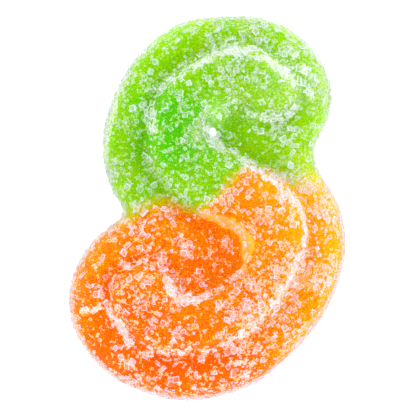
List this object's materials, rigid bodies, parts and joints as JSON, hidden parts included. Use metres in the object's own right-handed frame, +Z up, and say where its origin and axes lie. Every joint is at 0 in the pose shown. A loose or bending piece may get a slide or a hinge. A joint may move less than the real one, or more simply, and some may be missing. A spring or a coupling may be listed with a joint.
{
  "type": "sugared jelly sweet",
  "caption": "Sour jelly sweet moulded as a figure of eight, with a raised rope in an S on its face, half green and half orange, sanded with clear sugar crystals.",
  "frame": {"origin": "under the middle of the sweet, on its flat back", "axes": "+Z up from the flat back through the moulded face, +Y along the sweet from its orange end to its green end, +X to the right as the face is seen from above"},
  "size_m": [0.0283, 0.0391, 0.0091],
  "materials": {
    "jelly": "translucent jelly, green at one end and orange at the other, frosted with sugar",
    "sugar": "clear sugar crystals, glassy with white edges"
  },
  "bodies": {
    "root": {"jelly_sweet": "jelly"}
  },
  "joints": []
}
